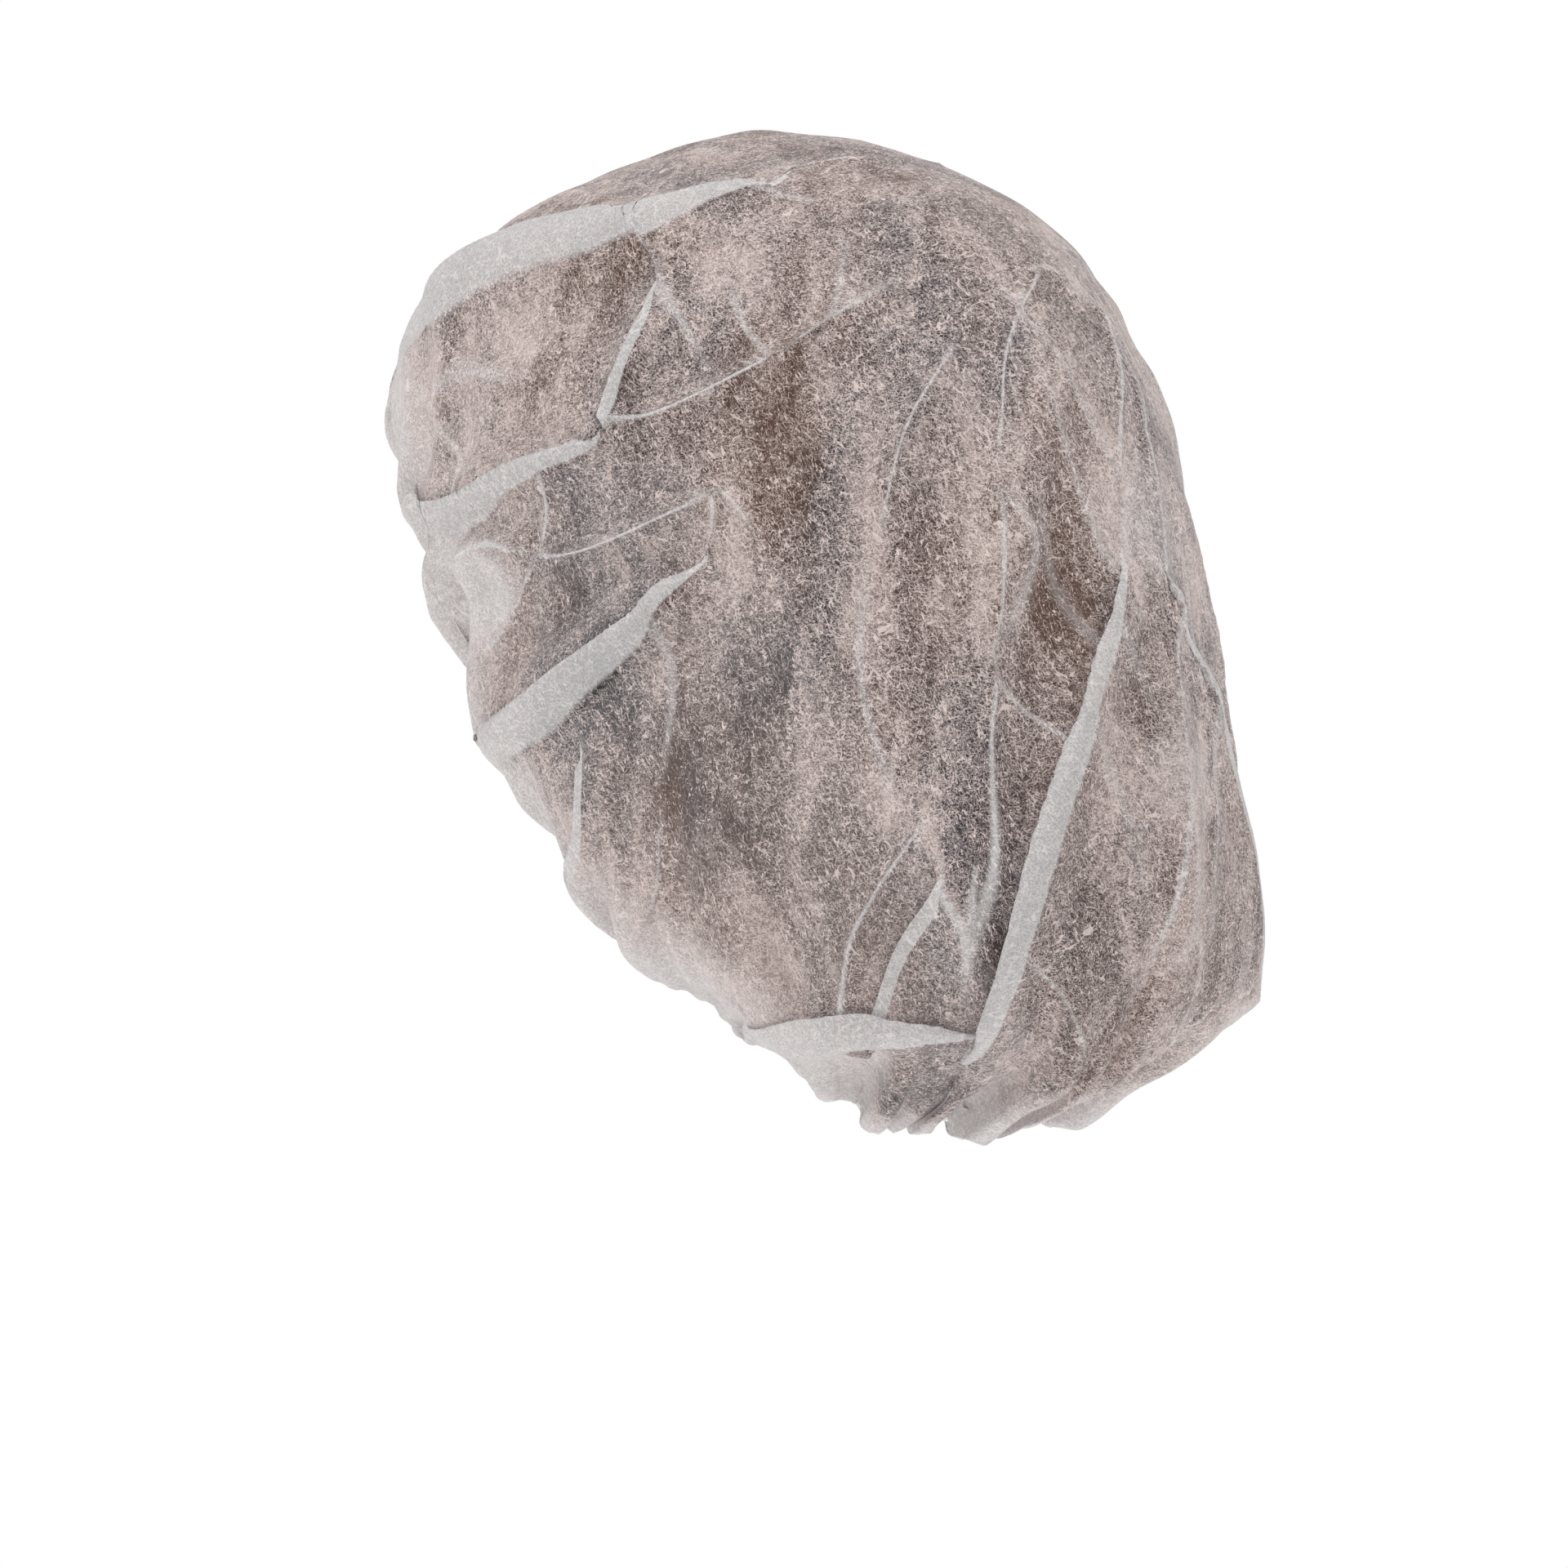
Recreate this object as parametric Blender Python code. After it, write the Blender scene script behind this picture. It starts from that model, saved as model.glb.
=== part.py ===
"""Disposable bouffant hair cap, in the form that it has when worn.

One sheet of spunbond non-woven is gathered by a closed elastic ring in its folded hem.
The front faces -Y, the wearer's left is +X and up is +Z. The origin is the seat on the
inside of the crown's top. A turn is an angle about Z, from the front towards +X. A run is
a share of the way down the sheet, from the crown's top to the lip where the hem folds in.
"""

from collections import namedtuple

import bpy
import bmesh
import numpy as np

# Overall form, in metres
CAP_HEIGHT = 0.248
FRONT_REACH = 0.104
BACK_REACH = 0.134
HALF_WIDTH = 0.098

# Sheet, hem and elastic
WALL = 0.0012
HEM_DEPTH = 0.007
ELASTIC_DIAMETER = 0.0020
ELASTIC_CLEARANCE = 0.0007

# Gathers that the elastic draws into the lip
GATHER_COUNT = 24
GATHER_HEIGHT = 0.0034
GATHER_AT_LIP = 0.6
GATHER_SWELL = 0.014
GATHER_REACH = 0.060
GATHER_JITTER = 0.28

# Pleats and soft folds of the crown
FOLD_HEIGHT = 0.0058
FOLD_WIDTH = 0.013
FAR_SIDE_SHARE = 0.5
FAR_SIDE_SHIFT = 8

# Mesh density. The crown is laid out finely, then thinned where it is flat.
COLUMNS_PER_GATHER = 6
CROWN_ROWS = 90
HEM_TURN_STEPS = 4
HEM_FLAP_STEPS = 1
THINNED_SHARE = 0.178
ROWS_KEPT_BY_HEM = 2
ELASTIC_SIDES = 6

# Each station is (out, drop): out is a share of the plan outline's radius at that turn,
# and drop is a share of CAP_HEIGHT below the crown's top.
Meridian = namedtuple("Meridian", "turn crown dome shoulder waist full under lip")
MERIDIANS = (
    Meridian(0, (0.33, 0.031), (0.70, 0.097), (0.880, 0.175), (0.940, 0.225),
             (0.960, 0.250), (0.950, 0.267), (0.930, 0.276)),
    Meridian(25, (0.33, 0.031), (0.70, 0.097), (0.875, 0.180), (0.930, 0.240),
             (0.950, 0.280), (0.940, 0.307), (0.925, 0.322)),
    Meridian(45, (0.33, 0.031), (0.68, 0.097), (0.860, 0.190), (0.910, 0.270),
             (0.920, 0.325), (0.915, 0.352), (0.900, 0.366)),
    Meridian(60, (0.33, 0.031), (0.66, 0.097), (0.840, 0.195), (0.900, 0.320),
             (0.900, 0.430), (0.885, 0.486), (0.860, 0.506)),
    Meridian(75, (0.33, 0.031), (0.64, 0.097), (0.810, 0.195), (0.895, 0.360),
             (0.900, 0.550), (0.860, 0.622), (0.815, 0.641)),
    Meridian(95, (0.33, 0.031), (0.62, 0.097), (0.785, 0.195), (0.900, 0.410),
             (0.915, 0.650), (0.830, 0.760), (0.735, 0.785)),
    Meridian(120, (0.33, 0.031), (0.60, 0.097), (0.760, 0.195), (0.895, 0.440),
             (0.950, 0.715), (0.845, 0.840), (0.670, 0.871)),
    Meridian(150, (0.33, 0.031), (0.58, 0.097), (0.725, 0.195), (0.880, 0.470),
             (0.975, 0.765), (0.865, 0.905), (0.610, 0.969)),
    Meridian(180, (0.33, 0.031), (0.57, 0.097), (0.720, 0.195), (0.870, 0.470),
             (0.965, 0.770), (0.850, 0.915), (0.560, 0.988)),
)

# Each fold is a ridge through three places, each (turn, run). Its width and height are
# shares of FOLD_WIDTH and FOLD_HEIGHT.
Fold = namedtuple("Fold", "name start middle end width height")
FOLDS = (
    Fold("forehead pleat", (44, 0.64), (78, 0.35), (124, 0.18), 1.5, 0.9),
    Fold("temple pleat", (52, 0.90), (76, 0.64), (99, 0.48), 0.9, 1.0),
    Fold("temple ridge", (99, 0.48), (122, 0.40), (147, 0.29), 0.8, 0.6),
    Fold("temple branch", (97, 0.50), (101, 0.41), (104, 0.33), 0.8, 0.6),
    Fold("short pleat", (58, 0.92), (73, 0.76), (87, 0.64), 0.9, 0.8),
    Fold("ear ridge", (87, 0.65), (102, 0.58), (117, 0.50), 0.8, 0.5),
    Fold("ear pleat", (74, 0.93), (94, 0.73), (116, 0.56), 1.1, 1.1),
    Fold("jaw fold", (99, 0.76), (98, 0.85), (91, 0.94), 0.8, 0.5),
    Fold("nape flap", (124, 0.97), (136, 0.89), (150, 0.85), 1.0, 0.9),
    Fold("nape slant", (133, 0.90), (140, 0.79), (146, 0.72), 0.8, 0.5),
    Fold("nape arc", (169, 0.95), (166, 0.86), (158, 0.78), 0.9, 0.5),
    Fold("long back pleat", (152, 0.88), (158, 0.70), (174, 0.50), 1.1, 0.9),
    Fold("back ridge", (148, 0.82), (154, 0.57), (173, 0.31), 0.9, 0.6),
    Fold("side ridge", (141, 0.50), (147, 0.41), (155, 0.34), 0.9, 0.5),
    Fold("back edge fold", (173, 0.80), (178, 0.60), (183, 0.41), 1.2, 0.5),
)


def flow(at, knots, values):
    """Smooth curve that passes through the values at their knots."""
    slopes = np.gradient(values, knots, axis=0)
    span = np.clip(np.searchsorted(knots, at, side="right") - 1, 0, len(knots) - 2)
    gap = (knots[span + 1] - knots[span]).reshape((-1,) + (1,) * (values.ndim - 1))
    share = (at - knots[span]).reshape(gap.shape) / gap
    rest = 1 - share
    return (rest**2 * ((1 + 2 * share) * values[span] + share * gap * slopes[span])
            + share**2 * ((1 + 2 * rest) * values[span + 1] - rest * gap * slopes[span + 1]))


def plan_radius(turns):
    """Radius of the plan outline: two half ellipses that meet at the sides."""
    angle = np.radians(turns)
    reach = np.where(np.cos(angle) >= 0, FRONT_REACH, BACK_REACH)
    return 1 / np.hypot(np.sin(angle) / HALF_WIDTH, np.cos(angle) / reach)


def stations_at(turns):
    """The stations at each turn, in metres out from the axis and down from the top."""
    rows = np.array([row[1:] for row in MERIDIANS])
    knots = np.array([row.turn for row in MERIDIANS], float)
    knots = np.concatenate([-knots[1:2], knots, 360 - knots[-2:-3:-1]])
    rows = np.concatenate([rows[1:2], rows, rows[-2:-3:-1]])
    mirrored = np.abs((turns + 180) % 360 - 180)
    shares = flow(mirrored, knots, rows)
    scale = np.stack([plan_radius(turns), np.full(len(turns), CAP_HEIGHT)], axis=1)
    return shares * scale[:, None, :]


def along_meridian(stations, runs):
    """Places (out, drop) at the given shares of one meridian's length."""
    mirrored = stations[0] * (-1, 1)
    points = np.vstack([mirrored, (0, 0), stations])
    strides = np.linalg.norm(np.diff(points, axis=0), axis=1)
    knots = np.concatenate([[0], np.cumsum(strides**0.75)])
    fine = flow(np.linspace(knots[1], knots[-1], 200), knots, points)
    steps = np.linalg.norm(np.diff(fine, axis=0), axis=1)
    travelled = np.concatenate([[0], np.cumsum(steps)])
    want = runs * travelled[-1]
    return np.interp(want, travelled, fine[:, 0]), np.interp(want, travelled, fine[:, 1])


def base_sheet(turns, runs):
    """Middle surface of the sheet without folds, as a grid of turns by runs."""
    sheet = np.zeros((len(turns), len(runs), 3))
    for column, stations in zip(sheet, stations_at(turns)):
        column[:, 0], column[:, 2] = along_meridian(stations, runs)
    angle = np.radians(turns)[:, None]
    out, drop = sheet[..., 0].copy(), sheet[..., 2].copy()
    sheet[..., 0] = out * np.sin(angle)
    sheet[..., 1] = -out * np.cos(angle)
    sheet[..., 2] = WALL / 2 - drop
    return sheet


def unit(vectors):
    return vectors / np.maximum(np.linalg.norm(vectors, axis=-1, keepdims=True), 1e-12)


def outward(sheet):
    """Unit normals of a grid that closes on itself from its last turn to its first."""
    around = np.roll(sheet, -1, axis=0) - np.roll(sheet, 1, axis=0)
    down = np.gradient(sheet, axis=1)
    normals = unit(np.cross(down, around))
    normals[:, 0] = (0, 0, 1)
    return normals


def fold_line(fold, side, steps=24):
    """Places along a fold's ridge on the base sheet, on the near or the far side."""
    places = np.array([fold.start, fold.middle, fold.end], float)
    if side < 0:
        places[:, 0] = 360 - places[:, 0] - FAR_SIDE_SHIFT
    turns, runs = flow(np.linspace(0, 1, steps), np.array([0, 0.5, 1]), places).T
    return base_sheet(turns, runs)[np.arange(steps), np.arange(steps)]


def fold_rise(sheet, fold, side):
    """How far one fold lifts each place of the sheet."""
    line = fold_line(fold, side)
    reach = np.linalg.norm(sheet[:, :, None] - line, axis=-1)
    along = reach.argmin(axis=-1) / (len(line) - 1)
    across = np.minimum(reach.min(axis=-1) / (fold.width * FOLD_WIDTH), 1)
    taper = np.clip(np.sin(np.pi * along), 0, 1) ** 0.6
    share = fold.height * (1 if side > 0 else FAR_SIDE_SHARE)
    return FOLD_HEIGHT * share * taper * (1 - across) ** 1.5


def gather_turns():
    """Turn of each column: a fixed number to a gather, the gathers unevenly wide."""
    order = np.arange(GATHER_COUNT)
    starts = order + GATHER_JITTER * np.sin(2.4 * order)
    ends = np.append(starts[1:], starts[0] + GATHER_COUNT)
    within = np.arange(COLUMNS_PER_GATHER) / COLUMNS_PER_GATHER
    phase = starts[:, None] + within * (ends - starts)[:, None]
    return (phase.ravel() * 360 / GATHER_COUNT) % 360


def gather_rise(sheet):
    """How far the gathers move each place of the sheet: held at the lip, fullest above it."""
    order = np.arange(len(sheet)) / COLUMNS_PER_GATHER
    wave = np.cos(2 * np.pi * order) * (0.8 + 0.2 * np.sin(1.7 * np.floor(order + 0.5)))
    above_lip = np.linalg.norm(sheet - sheet[:, -1:], axis=-1)
    swell = np.sin(np.pi / 2 * np.minimum(above_lip / GATHER_SWELL, 1))
    fade = np.exp(-(above_lip / GATHER_REACH) ** 2)
    return GATHER_HEIGHT * wave[:, None] * (GATHER_AT_LIP + (1 - GATHER_AT_LIP) * swell) * fade


def hem_frame(base):
    """At each column's lip: the way down the sheet and the way in, square to the lip."""
    lip = base[:, -1]
    tangent = unit(np.roll(lip, -1, axis=0) - np.roll(lip, 1, axis=0))
    down = lip - base[:, -2]
    down = unit(down - np.sum(down * tangent, axis=1, keepdims=True) * tangent)
    return down, -unit(np.cross(down, tangent))


def hem_radius():
    """Radius of the hem's fold at the middle of its wall, round the elastic."""
    return ELASTIC_DIAMETER / 2 + ELASTIC_CLEARANCE + WALL / 2


def cap_sheet():
    """The whole middle surface, crown then hem, and the line that the elastic follows."""
    turns = gather_turns()
    runs = np.linspace(0, 1, CROWN_ROWS + 1) ** 0.9
    base = base_sheet(turns, runs)
    rise = gather_rise(base)
    for fold in FOLDS:
        rise += fold_rise(base, fold, 1) + fold_rise(base, fold, -1)
    crown = base + outward(base) * rise[..., None]

    down, inward = hem_frame(base)
    lip = crown[:, -1]
    radius = hem_radius()
    hem = []
    for angle in np.linspace(0, np.pi, HEM_TURN_STEPS + 1)[1:]:
        hem.append(lip + radius * ((1 - np.cos(angle)) * inward + np.sin(angle) * down))
    for share in np.linspace(0, 1, HEM_FLAP_STEPS + 1)[1:]:
        hem.append(lip + 2 * radius * inward - share * HEM_DEPTH * down)
    return np.concatenate([crown, np.stack(hem, axis=1)], axis=1), lip + radius * inward


def material(name, colour, roughness, alpha=1.0):
    made = bpy.data.materials.new(name)
    made.use_nodes = True
    shader = made.node_tree.nodes["Principled BSDF"]
    shader.inputs["Base Color"].default_value = (*colour, 1)
    shader.inputs["Roughness"].default_value = roughness
    shader.inputs["Metallic"].default_value = 0
    shader.inputs["Alpha"].default_value = alpha
    return made


def make_crown(sheet):
    """The sheet as one surface, closed at its top, then given its wall."""
    mesh = bmesh.new()
    top = mesh.verts.new(sheet[:, 0].mean(axis=0))
    columns = [[mesh.verts.new(place) for place in column[1:]] for column in sheet]
    for here, following in zip(columns, columns[1:] + columns[:1]):
        mesh.faces.new((top, here[0], following[0]))
        for row in range(len(here) - 1):
            mesh.faces.new((here[row], here[row + 1], following[row + 1], following[row]))
    for face in mesh.faces:
        face.smooth = True
    data = bpy.data.meshes.new("crown")
    mesh.to_mesh(data)
    mesh.free()
    crown = bpy.data.objects.new("crown", data)
    bpy.context.collection.objects.link(crown)
    rows = sheet.shape[1] - 1
    thinned_rows = range(CROWN_ROWS - ROWS_KEPT_BY_HEM)
    free = crown.vertex_groups.new(name="above the hem")
    free.add([0] + [1 + first + row for first in range(0, len(sheet) * rows, rows)
                    for row in thinned_rows], 1, "REPLACE")
    thin = crown.modifiers.new("thin", "DECIMATE")
    thin.vertex_group = free.name
    thin.ratio = THINNED_SHARE
    wall = crown.modifiers.new("wall", "SOLIDIFY")
    wall.thickness = WALL
    wall.offset = 0
    data.materials.append(material("white_nonwoven", (0.78, 0.77, 0.76), 0.85, alpha=0.55))


def make_elastic(line):
    """A closed round ring that lies in the fold of the hem."""
    curve = bpy.data.curves.new("elastic", "CURVE")
    curve.dimensions = "3D"
    curve.bevel_depth = ELASTIC_DIAMETER / 2
    curve.bevel_resolution = ELASTIC_SIDES // 2 - 2
    spline = curve.splines.new("POLY")
    spline.points.add(len(line) - 1)
    for point, place in zip(spline.points, line):
        point.co = (*place, 1)
    spline.use_cyclic_u = True
    elastic = bpy.data.objects.new("elastic", curve)
    bpy.context.collection.objects.link(elastic)
    curve.materials.append(material("white_elastic", (0.82, 0.81, 0.79), 0.6))


for leftover in list(bpy.data.objects):
    bpy.data.objects.remove(leftover)
cap, elastic_line = cap_sheet()
make_crown(cap)
make_elastic(elastic_line)
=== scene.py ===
"""Disposable bouffant hair cap of thin spunbond non-woven, held in the form that it has when worn.

The front faces -Y, the left side as worn is +X and up is +Z. Sizes are in metres. A turn is an
angle about Z, from the front towards +X. A run is a share of the way down the sheet, from the
crown's top to the lip where the hem folds in.
"""

from collections import namedtuple

import bpy
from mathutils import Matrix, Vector
import numpy as np


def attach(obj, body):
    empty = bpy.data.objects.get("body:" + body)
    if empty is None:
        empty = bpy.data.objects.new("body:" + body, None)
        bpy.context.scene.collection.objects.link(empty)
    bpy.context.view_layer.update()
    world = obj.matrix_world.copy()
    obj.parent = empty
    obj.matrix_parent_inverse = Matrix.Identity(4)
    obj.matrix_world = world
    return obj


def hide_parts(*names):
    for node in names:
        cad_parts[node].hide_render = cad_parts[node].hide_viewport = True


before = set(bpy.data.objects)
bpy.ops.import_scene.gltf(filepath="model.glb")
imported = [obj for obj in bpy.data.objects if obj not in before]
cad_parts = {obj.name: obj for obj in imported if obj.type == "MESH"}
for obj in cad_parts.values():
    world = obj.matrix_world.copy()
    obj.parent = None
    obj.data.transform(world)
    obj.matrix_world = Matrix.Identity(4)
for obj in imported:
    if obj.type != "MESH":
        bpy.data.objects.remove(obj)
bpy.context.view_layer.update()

# Crown sheet with its folded hem
# One round sheet of white spunbond non-woven, about 0.1 mm thick. Its edge is folded in over the
# elastic, which gathers it into ruffles; above them it is full, and lies in pleats and creases.
CAP_HEIGHT = 0.248
FRONT_REACH = 0.104
BACK_REACH = 0.134
HALF_WIDTH = 0.098
WALL = 0.0012
HEM_DEPTH = 0.007
HEM_RADIUS = 0.0023

# Gathers in the edge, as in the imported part. They rise from the lip over GATHER_SWELL.
GATHER_COUNT = 24
GATHER_HEIGHT = 0.0034
GATHER_AT_LIP = 0.6
GATHER_SWELL = 0.014
GATHER_REACH = 0.060
GATHER_JITTER = 0.28

# How finely the sheet is divided, its rows closer towards the lip, and how much whiter the web
# looks at the lip and how far up that reaches.
COLUMNS_PER_GATHER = 23
CROWN_ROWS = 168
ROW_SPREAD = 0.9
HEM_TURN_STEPS = 6
HEM_FLAP_STEPS = 3
RIM_WHITE = 1.2
RIM_WHITE_REACH = 0.028

# Seven stations down the sheet at each turn: how far out, as a share of the plan's radius, and how
# far down, as a share of the height.
Meridian = namedtuple("Meridian", "turn crown dome shoulder waist full under lip")
MERIDIANS = (
    Meridian(0, (0.33, 0.031), (0.70, 0.097), (0.880, 0.175), (0.940, 0.225),
             (0.960, 0.250), (0.950, 0.267), (0.930, 0.276)),
    Meridian(25, (0.33, 0.031), (0.70, 0.097), (0.875, 0.180), (0.930, 0.240),
             (0.950, 0.280), (0.940, 0.307), (0.925, 0.322)),
    Meridian(45, (0.33, 0.031), (0.68, 0.097), (0.860, 0.190), (0.910, 0.270),
             (0.920, 0.325), (0.915, 0.352), (0.900, 0.366)),
    Meridian(60, (0.33, 0.031), (0.66, 0.097), (0.840, 0.195), (0.900, 0.320),
             (0.900, 0.430), (0.885, 0.486), (0.860, 0.506)),
    Meridian(75, (0.33, 0.031), (0.64, 0.097), (0.810, 0.195), (0.895, 0.360),
             (0.900, 0.550), (0.860, 0.622), (0.815, 0.641)),
    Meridian(95, (0.33, 0.031), (0.62, 0.097), (0.785, 0.195), (0.900, 0.410),
             (0.915, 0.650), (0.830, 0.760), (0.735, 0.785)),
    Meridian(120, (0.33, 0.031), (0.60, 0.097), (0.760, 0.195), (0.895, 0.440),
             (0.950, 0.715), (0.845, 0.840), (0.670, 0.871)),
    Meridian(150, (0.33, 0.031), (0.58, 0.097), (0.725, 0.195), (0.880, 0.470),
             (0.975, 0.765), (0.865, 0.905), (0.610, 0.969)),
    Meridian(180, (0.33, 0.031), (0.57, 0.097), (0.720, 0.195), (0.870, 0.470),
             (0.965, 0.770), (0.850, 0.915), (0.560, 0.988)),
)

# Soft swells under the folds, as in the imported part: each runs through three places.
FOLD_HEIGHT = 0.0058
FOLD_WIDTH = 0.013
FAR_SIDE_SHARE = 0.5
FAR_SIDE_SHIFT = 8
Fold = namedtuple("Fold", "name start middle end width height")
FOLDS = (
    Fold("forehead pleat", (44, 0.64), (78, 0.35), (124, 0.18), 1.5, 0.9),
    Fold("temple pleat", (52, 0.90), (76, 0.64), (99, 0.48), 0.9, 1.0),
    Fold("temple ridge", (99, 0.48), (122, 0.40), (147, 0.29), 0.8, 0.6),
    Fold("temple branch", (97, 0.50), (101, 0.41), (104, 0.33), 0.8, 0.6),
    Fold("short pleat", (58, 0.92), (73, 0.76), (87, 0.64), 0.9, 0.8),
    Fold("ear ridge", (87, 0.65), (102, 0.58), (117, 0.50), 0.8, 0.5),
    Fold("ear pleat", (74, 0.93), (94, 0.73), (116, 0.56), 1.1, 1.1),
    Fold("jaw fold", (99, 0.76), (98, 0.85), (91, 0.94), 0.8, 0.5),
    Fold("nape flap", (124, 0.97), (136, 0.89), (150, 0.85), 1.0, 0.9),
    Fold("nape slant", (133, 0.90), (140, 0.79), (146, 0.72), 0.8, 0.5),
    Fold("nape arc", (169, 0.95), (166, 0.86), (158, 0.78), 0.9, 0.5),
    Fold("long back pleat", (152, 0.88), (158, 0.70), (174, 0.50), 1.1, 0.9),
    Fold("back ridge", (148, 0.82), (154, 0.57), (173, 0.31), 0.9, 0.6),
    Fold("side ridge", (141, 0.50), (147, 0.41), (155, 0.34), 0.9, 0.5),
    Fold("back edge fold", (173, 0.80), (178, 0.60), (183, 0.41), 1.2, 0.5),
)

# Pleats where the sheet lies over itself. Each runs through three places; lap is half the width of
# the doubled strip at each of them, in millimetres, and rise is how far its top layer stands off,
# in millimetres. A negative side turns the open edge round. A pleat draws on a zone of the sheet,
# whose half width is given by ZONE_PER_LAP and ZONE_EXTRA. It tapers at its ends, the lip holds it
# back over LIP_HOLD, and it calms the ruffles over CALM_REACH zones, from CALM_ABOVE_LIP up. A
# place's strip is -1 at the fold that shows, rises across the top layer, and is lower outside it.
ZONE_PER_LAP = 1.3
ZONE_EXTRA = 0.0025
TOP_LAYER_AT = -0.9
TOP_LAYER_WIDTH = 1.1
PLEAT_END_HOLD = 0.3
PLEAT_END_RATE = 8
LIP_HOLD = 0.008
CALM_REACH = 2.2
CALM_ABOVE_LIP = 0.015
OUTSIDE_STRIP = -3.0
STRIP_END_DROP = 4
Pleat = namedtuple("Pleat", "name start middle end lap rise side")
PLEATS = (
    Pleat("forehead pleat", (32, 0.90), (70, 0.40), (132, 0.16), (4.0, 7.0, 1.0), 2.4, 1),
    Pleat("temple pleat", (47, 0.98), (79, 0.63), (98, 0.49), (4.6, 2.6, 1.6), 2.2, 1),
    Pleat("temple branch", (98, 0.48), (101, 0.41), (104, 0.33), (1.6, 1.1, 0.5), 1.4, 1),
    Pleat("ear pleat", (73, 0.97), (94, 0.755), (116, 0.56), (5.0, 4.2, 1.2), 2.4, 1),
    Pleat("jaw fold", (98, 0.80), (96, 0.88), (90, 0.96), (0.8, 1.4, 1.6), 1.4, -1),
    Pleat("nape flap", (121, 1.00), (134, 0.90), (150, 0.855), (4.0, 5.2, 1.4), 2.6, 1),
    Pleat("nape slant", (146, 0.75), (142, 0.82), (136, 0.89), (0.6, 1.2, 1.6), 1.6, -1),
    Pleat("long back pleat", (152, 0.885), (158, 0.70), (174, 0.50), (2.2, 3.2, 1.0), 2.6, 1),
)

# Pinched creases and soft ridges, where the sheet stands up but isn't doubled. Reach is half the
# width that each takes up and rise is how high it stands, in millimetres; white is how strongly
# its crest is painted whiter, a painted highlight. Those up to FULL_PINCH_REACH wide draw in PINCH
# of that width. A crest whose painted highlight is less than LEAST_WHITE isn't marked. The sheet
# is read up to MARK_REACH past a mark.
PINCH = 0.5
FULL_PINCH_REACH = 3.4
CREASE_END_HOLD = 0.2
CREASE_END_RATE = 4
CREST_WIDTH = 0.7
WHITE_WIDTH = 1.5
FAR_ACROSS = 9.0
LEAST_WHITE = 0.02
MARK_REACH = 0.030
Crease = namedtuple("Crease", "name start middle end reach rise white")
CREASES = (
    Crease("crown crease", (124, 0.165), (141, 0.14), (160, 0.13), 3.0, 1.0, 0.6),
    Crease("temple ridge", (98, 0.485), (120, 0.40), (147, 0.29), 3.4, 1.6, 1.0),
    Crease("temple ridge end", (128, 0.37), (136, 0.32), (141, 0.25), 5.0, 0.8, 0.4),
    Crease("brow crease", (90, 0.335), (97, 0.32), (106, 0.325), 3.0, 1.0, 0.8),
    Crease("brow streak", (104, 0.32), (108, 0.34), (114, 0.385), 5.0, 1.2, 0.5),
    Crease("crown streak", (119, 0.315), (122, 0.35), (126, 0.37), 5.0, 1.0, 0.5),
    Crease("short crease", (90, 0.57), (89, 0.61), (87, 0.65), 3.0, 1.0, 0.9),
    Crease("ear ridge", (86, 0.66), (103, 0.57), (117, 0.50), 3.2, 1.4, 1.0),
    Crease("ear hook", (116, 0.50), (120, 0.50), (123, 0.52), 3.0, 1.0, 0.7),
    Crease("ear link", (117, 0.505), (117, 0.53), (115, 0.56), 3.0, 1.0, 0.8),
    Crease("jaw crease", (110, 0.80), (108, 0.88), (103, 0.95), 3.5, 1.0, 0.5),
    Crease("nape fold", (132, 0.89), (139, 0.78), (145, 0.71), 3.0, 1.2, 0.8),
    Crease("short fold, top", (86, 0.655), (76, 0.73), (60, 0.93), 3.4, 1.4, 0.9),
    Crease("short fold, bottom", (87, 0.66), (81, 0.75), (73, 0.87), 3.4, 1.2, 0.8),
    Crease("nape arc", (169, 0.98), (166, 0.87), (158, 0.79), 3.0, 1.0, 0.6),
    Crease("nape crease", (153, 0.99), (153, 0.94), (151, 0.88), 3.0, 1.2, 0.9),
    Crease("nape link", (148, 0.83), (148, 0.79), (146, 0.74), 3.0, 1.2, 0.8),
    Crease("back ridge", (148, 0.83), (153, 0.62), (158, 0.43), 3.0, 1.5, 0.8),
    Crease("back ridge end", (158, 0.43), (163, 0.34), (175, 0.28), 3.0, 1.2, 0.9),
    Crease("back slant", (153, 0.58), (158, 0.63), (161, 0.67), 4.0, 1.0, 0.5),
    Crease("side ridge", (141, 0.50), (146, 0.41), (155, 0.34), 3.0, 1.2, 0.8),
    Crease("back streak", (188, 0.29), (179, 0.40), (174, 0.50), 4.0, 1.4, 0.7),
    Crease("back edge fold", (187, 0.34), (182, 0.48), (178, 0.62), 4.0, 1.4, 0.7),
    Crease("lower back streak", (178, 0.60), (175, 0.70), (173, 0.80), 5.0, 1.2, 0.6),
    Crease("far back streak", (189, 0.45), (186, 0.60), (182, 0.76), 5.0, 1.0, 0.5),
    Crease("side streak", (158, 0.45), (161, 0.50), (155, 0.58), 6.0, 0.9, 0.4),
    Crease("lower side streak", (139, 0.53), (138, 0.62), (141, 0.70), 6.0, 0.9, 0.4),
    Crease("cheek streak", (111, 0.60), (112, 0.68), (110, 0.76), 5.0, 0.8, 0.4),
    Crease("crown slant", (108, 0.26), (122, 0.22), (138, 0.20), 5.0, 0.8, 0.4),
    Crease("forehead streak", (55, 0.73), (66, 0.60), (80, 0.50), 6.0, 0.9, 0.4),
)

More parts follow.
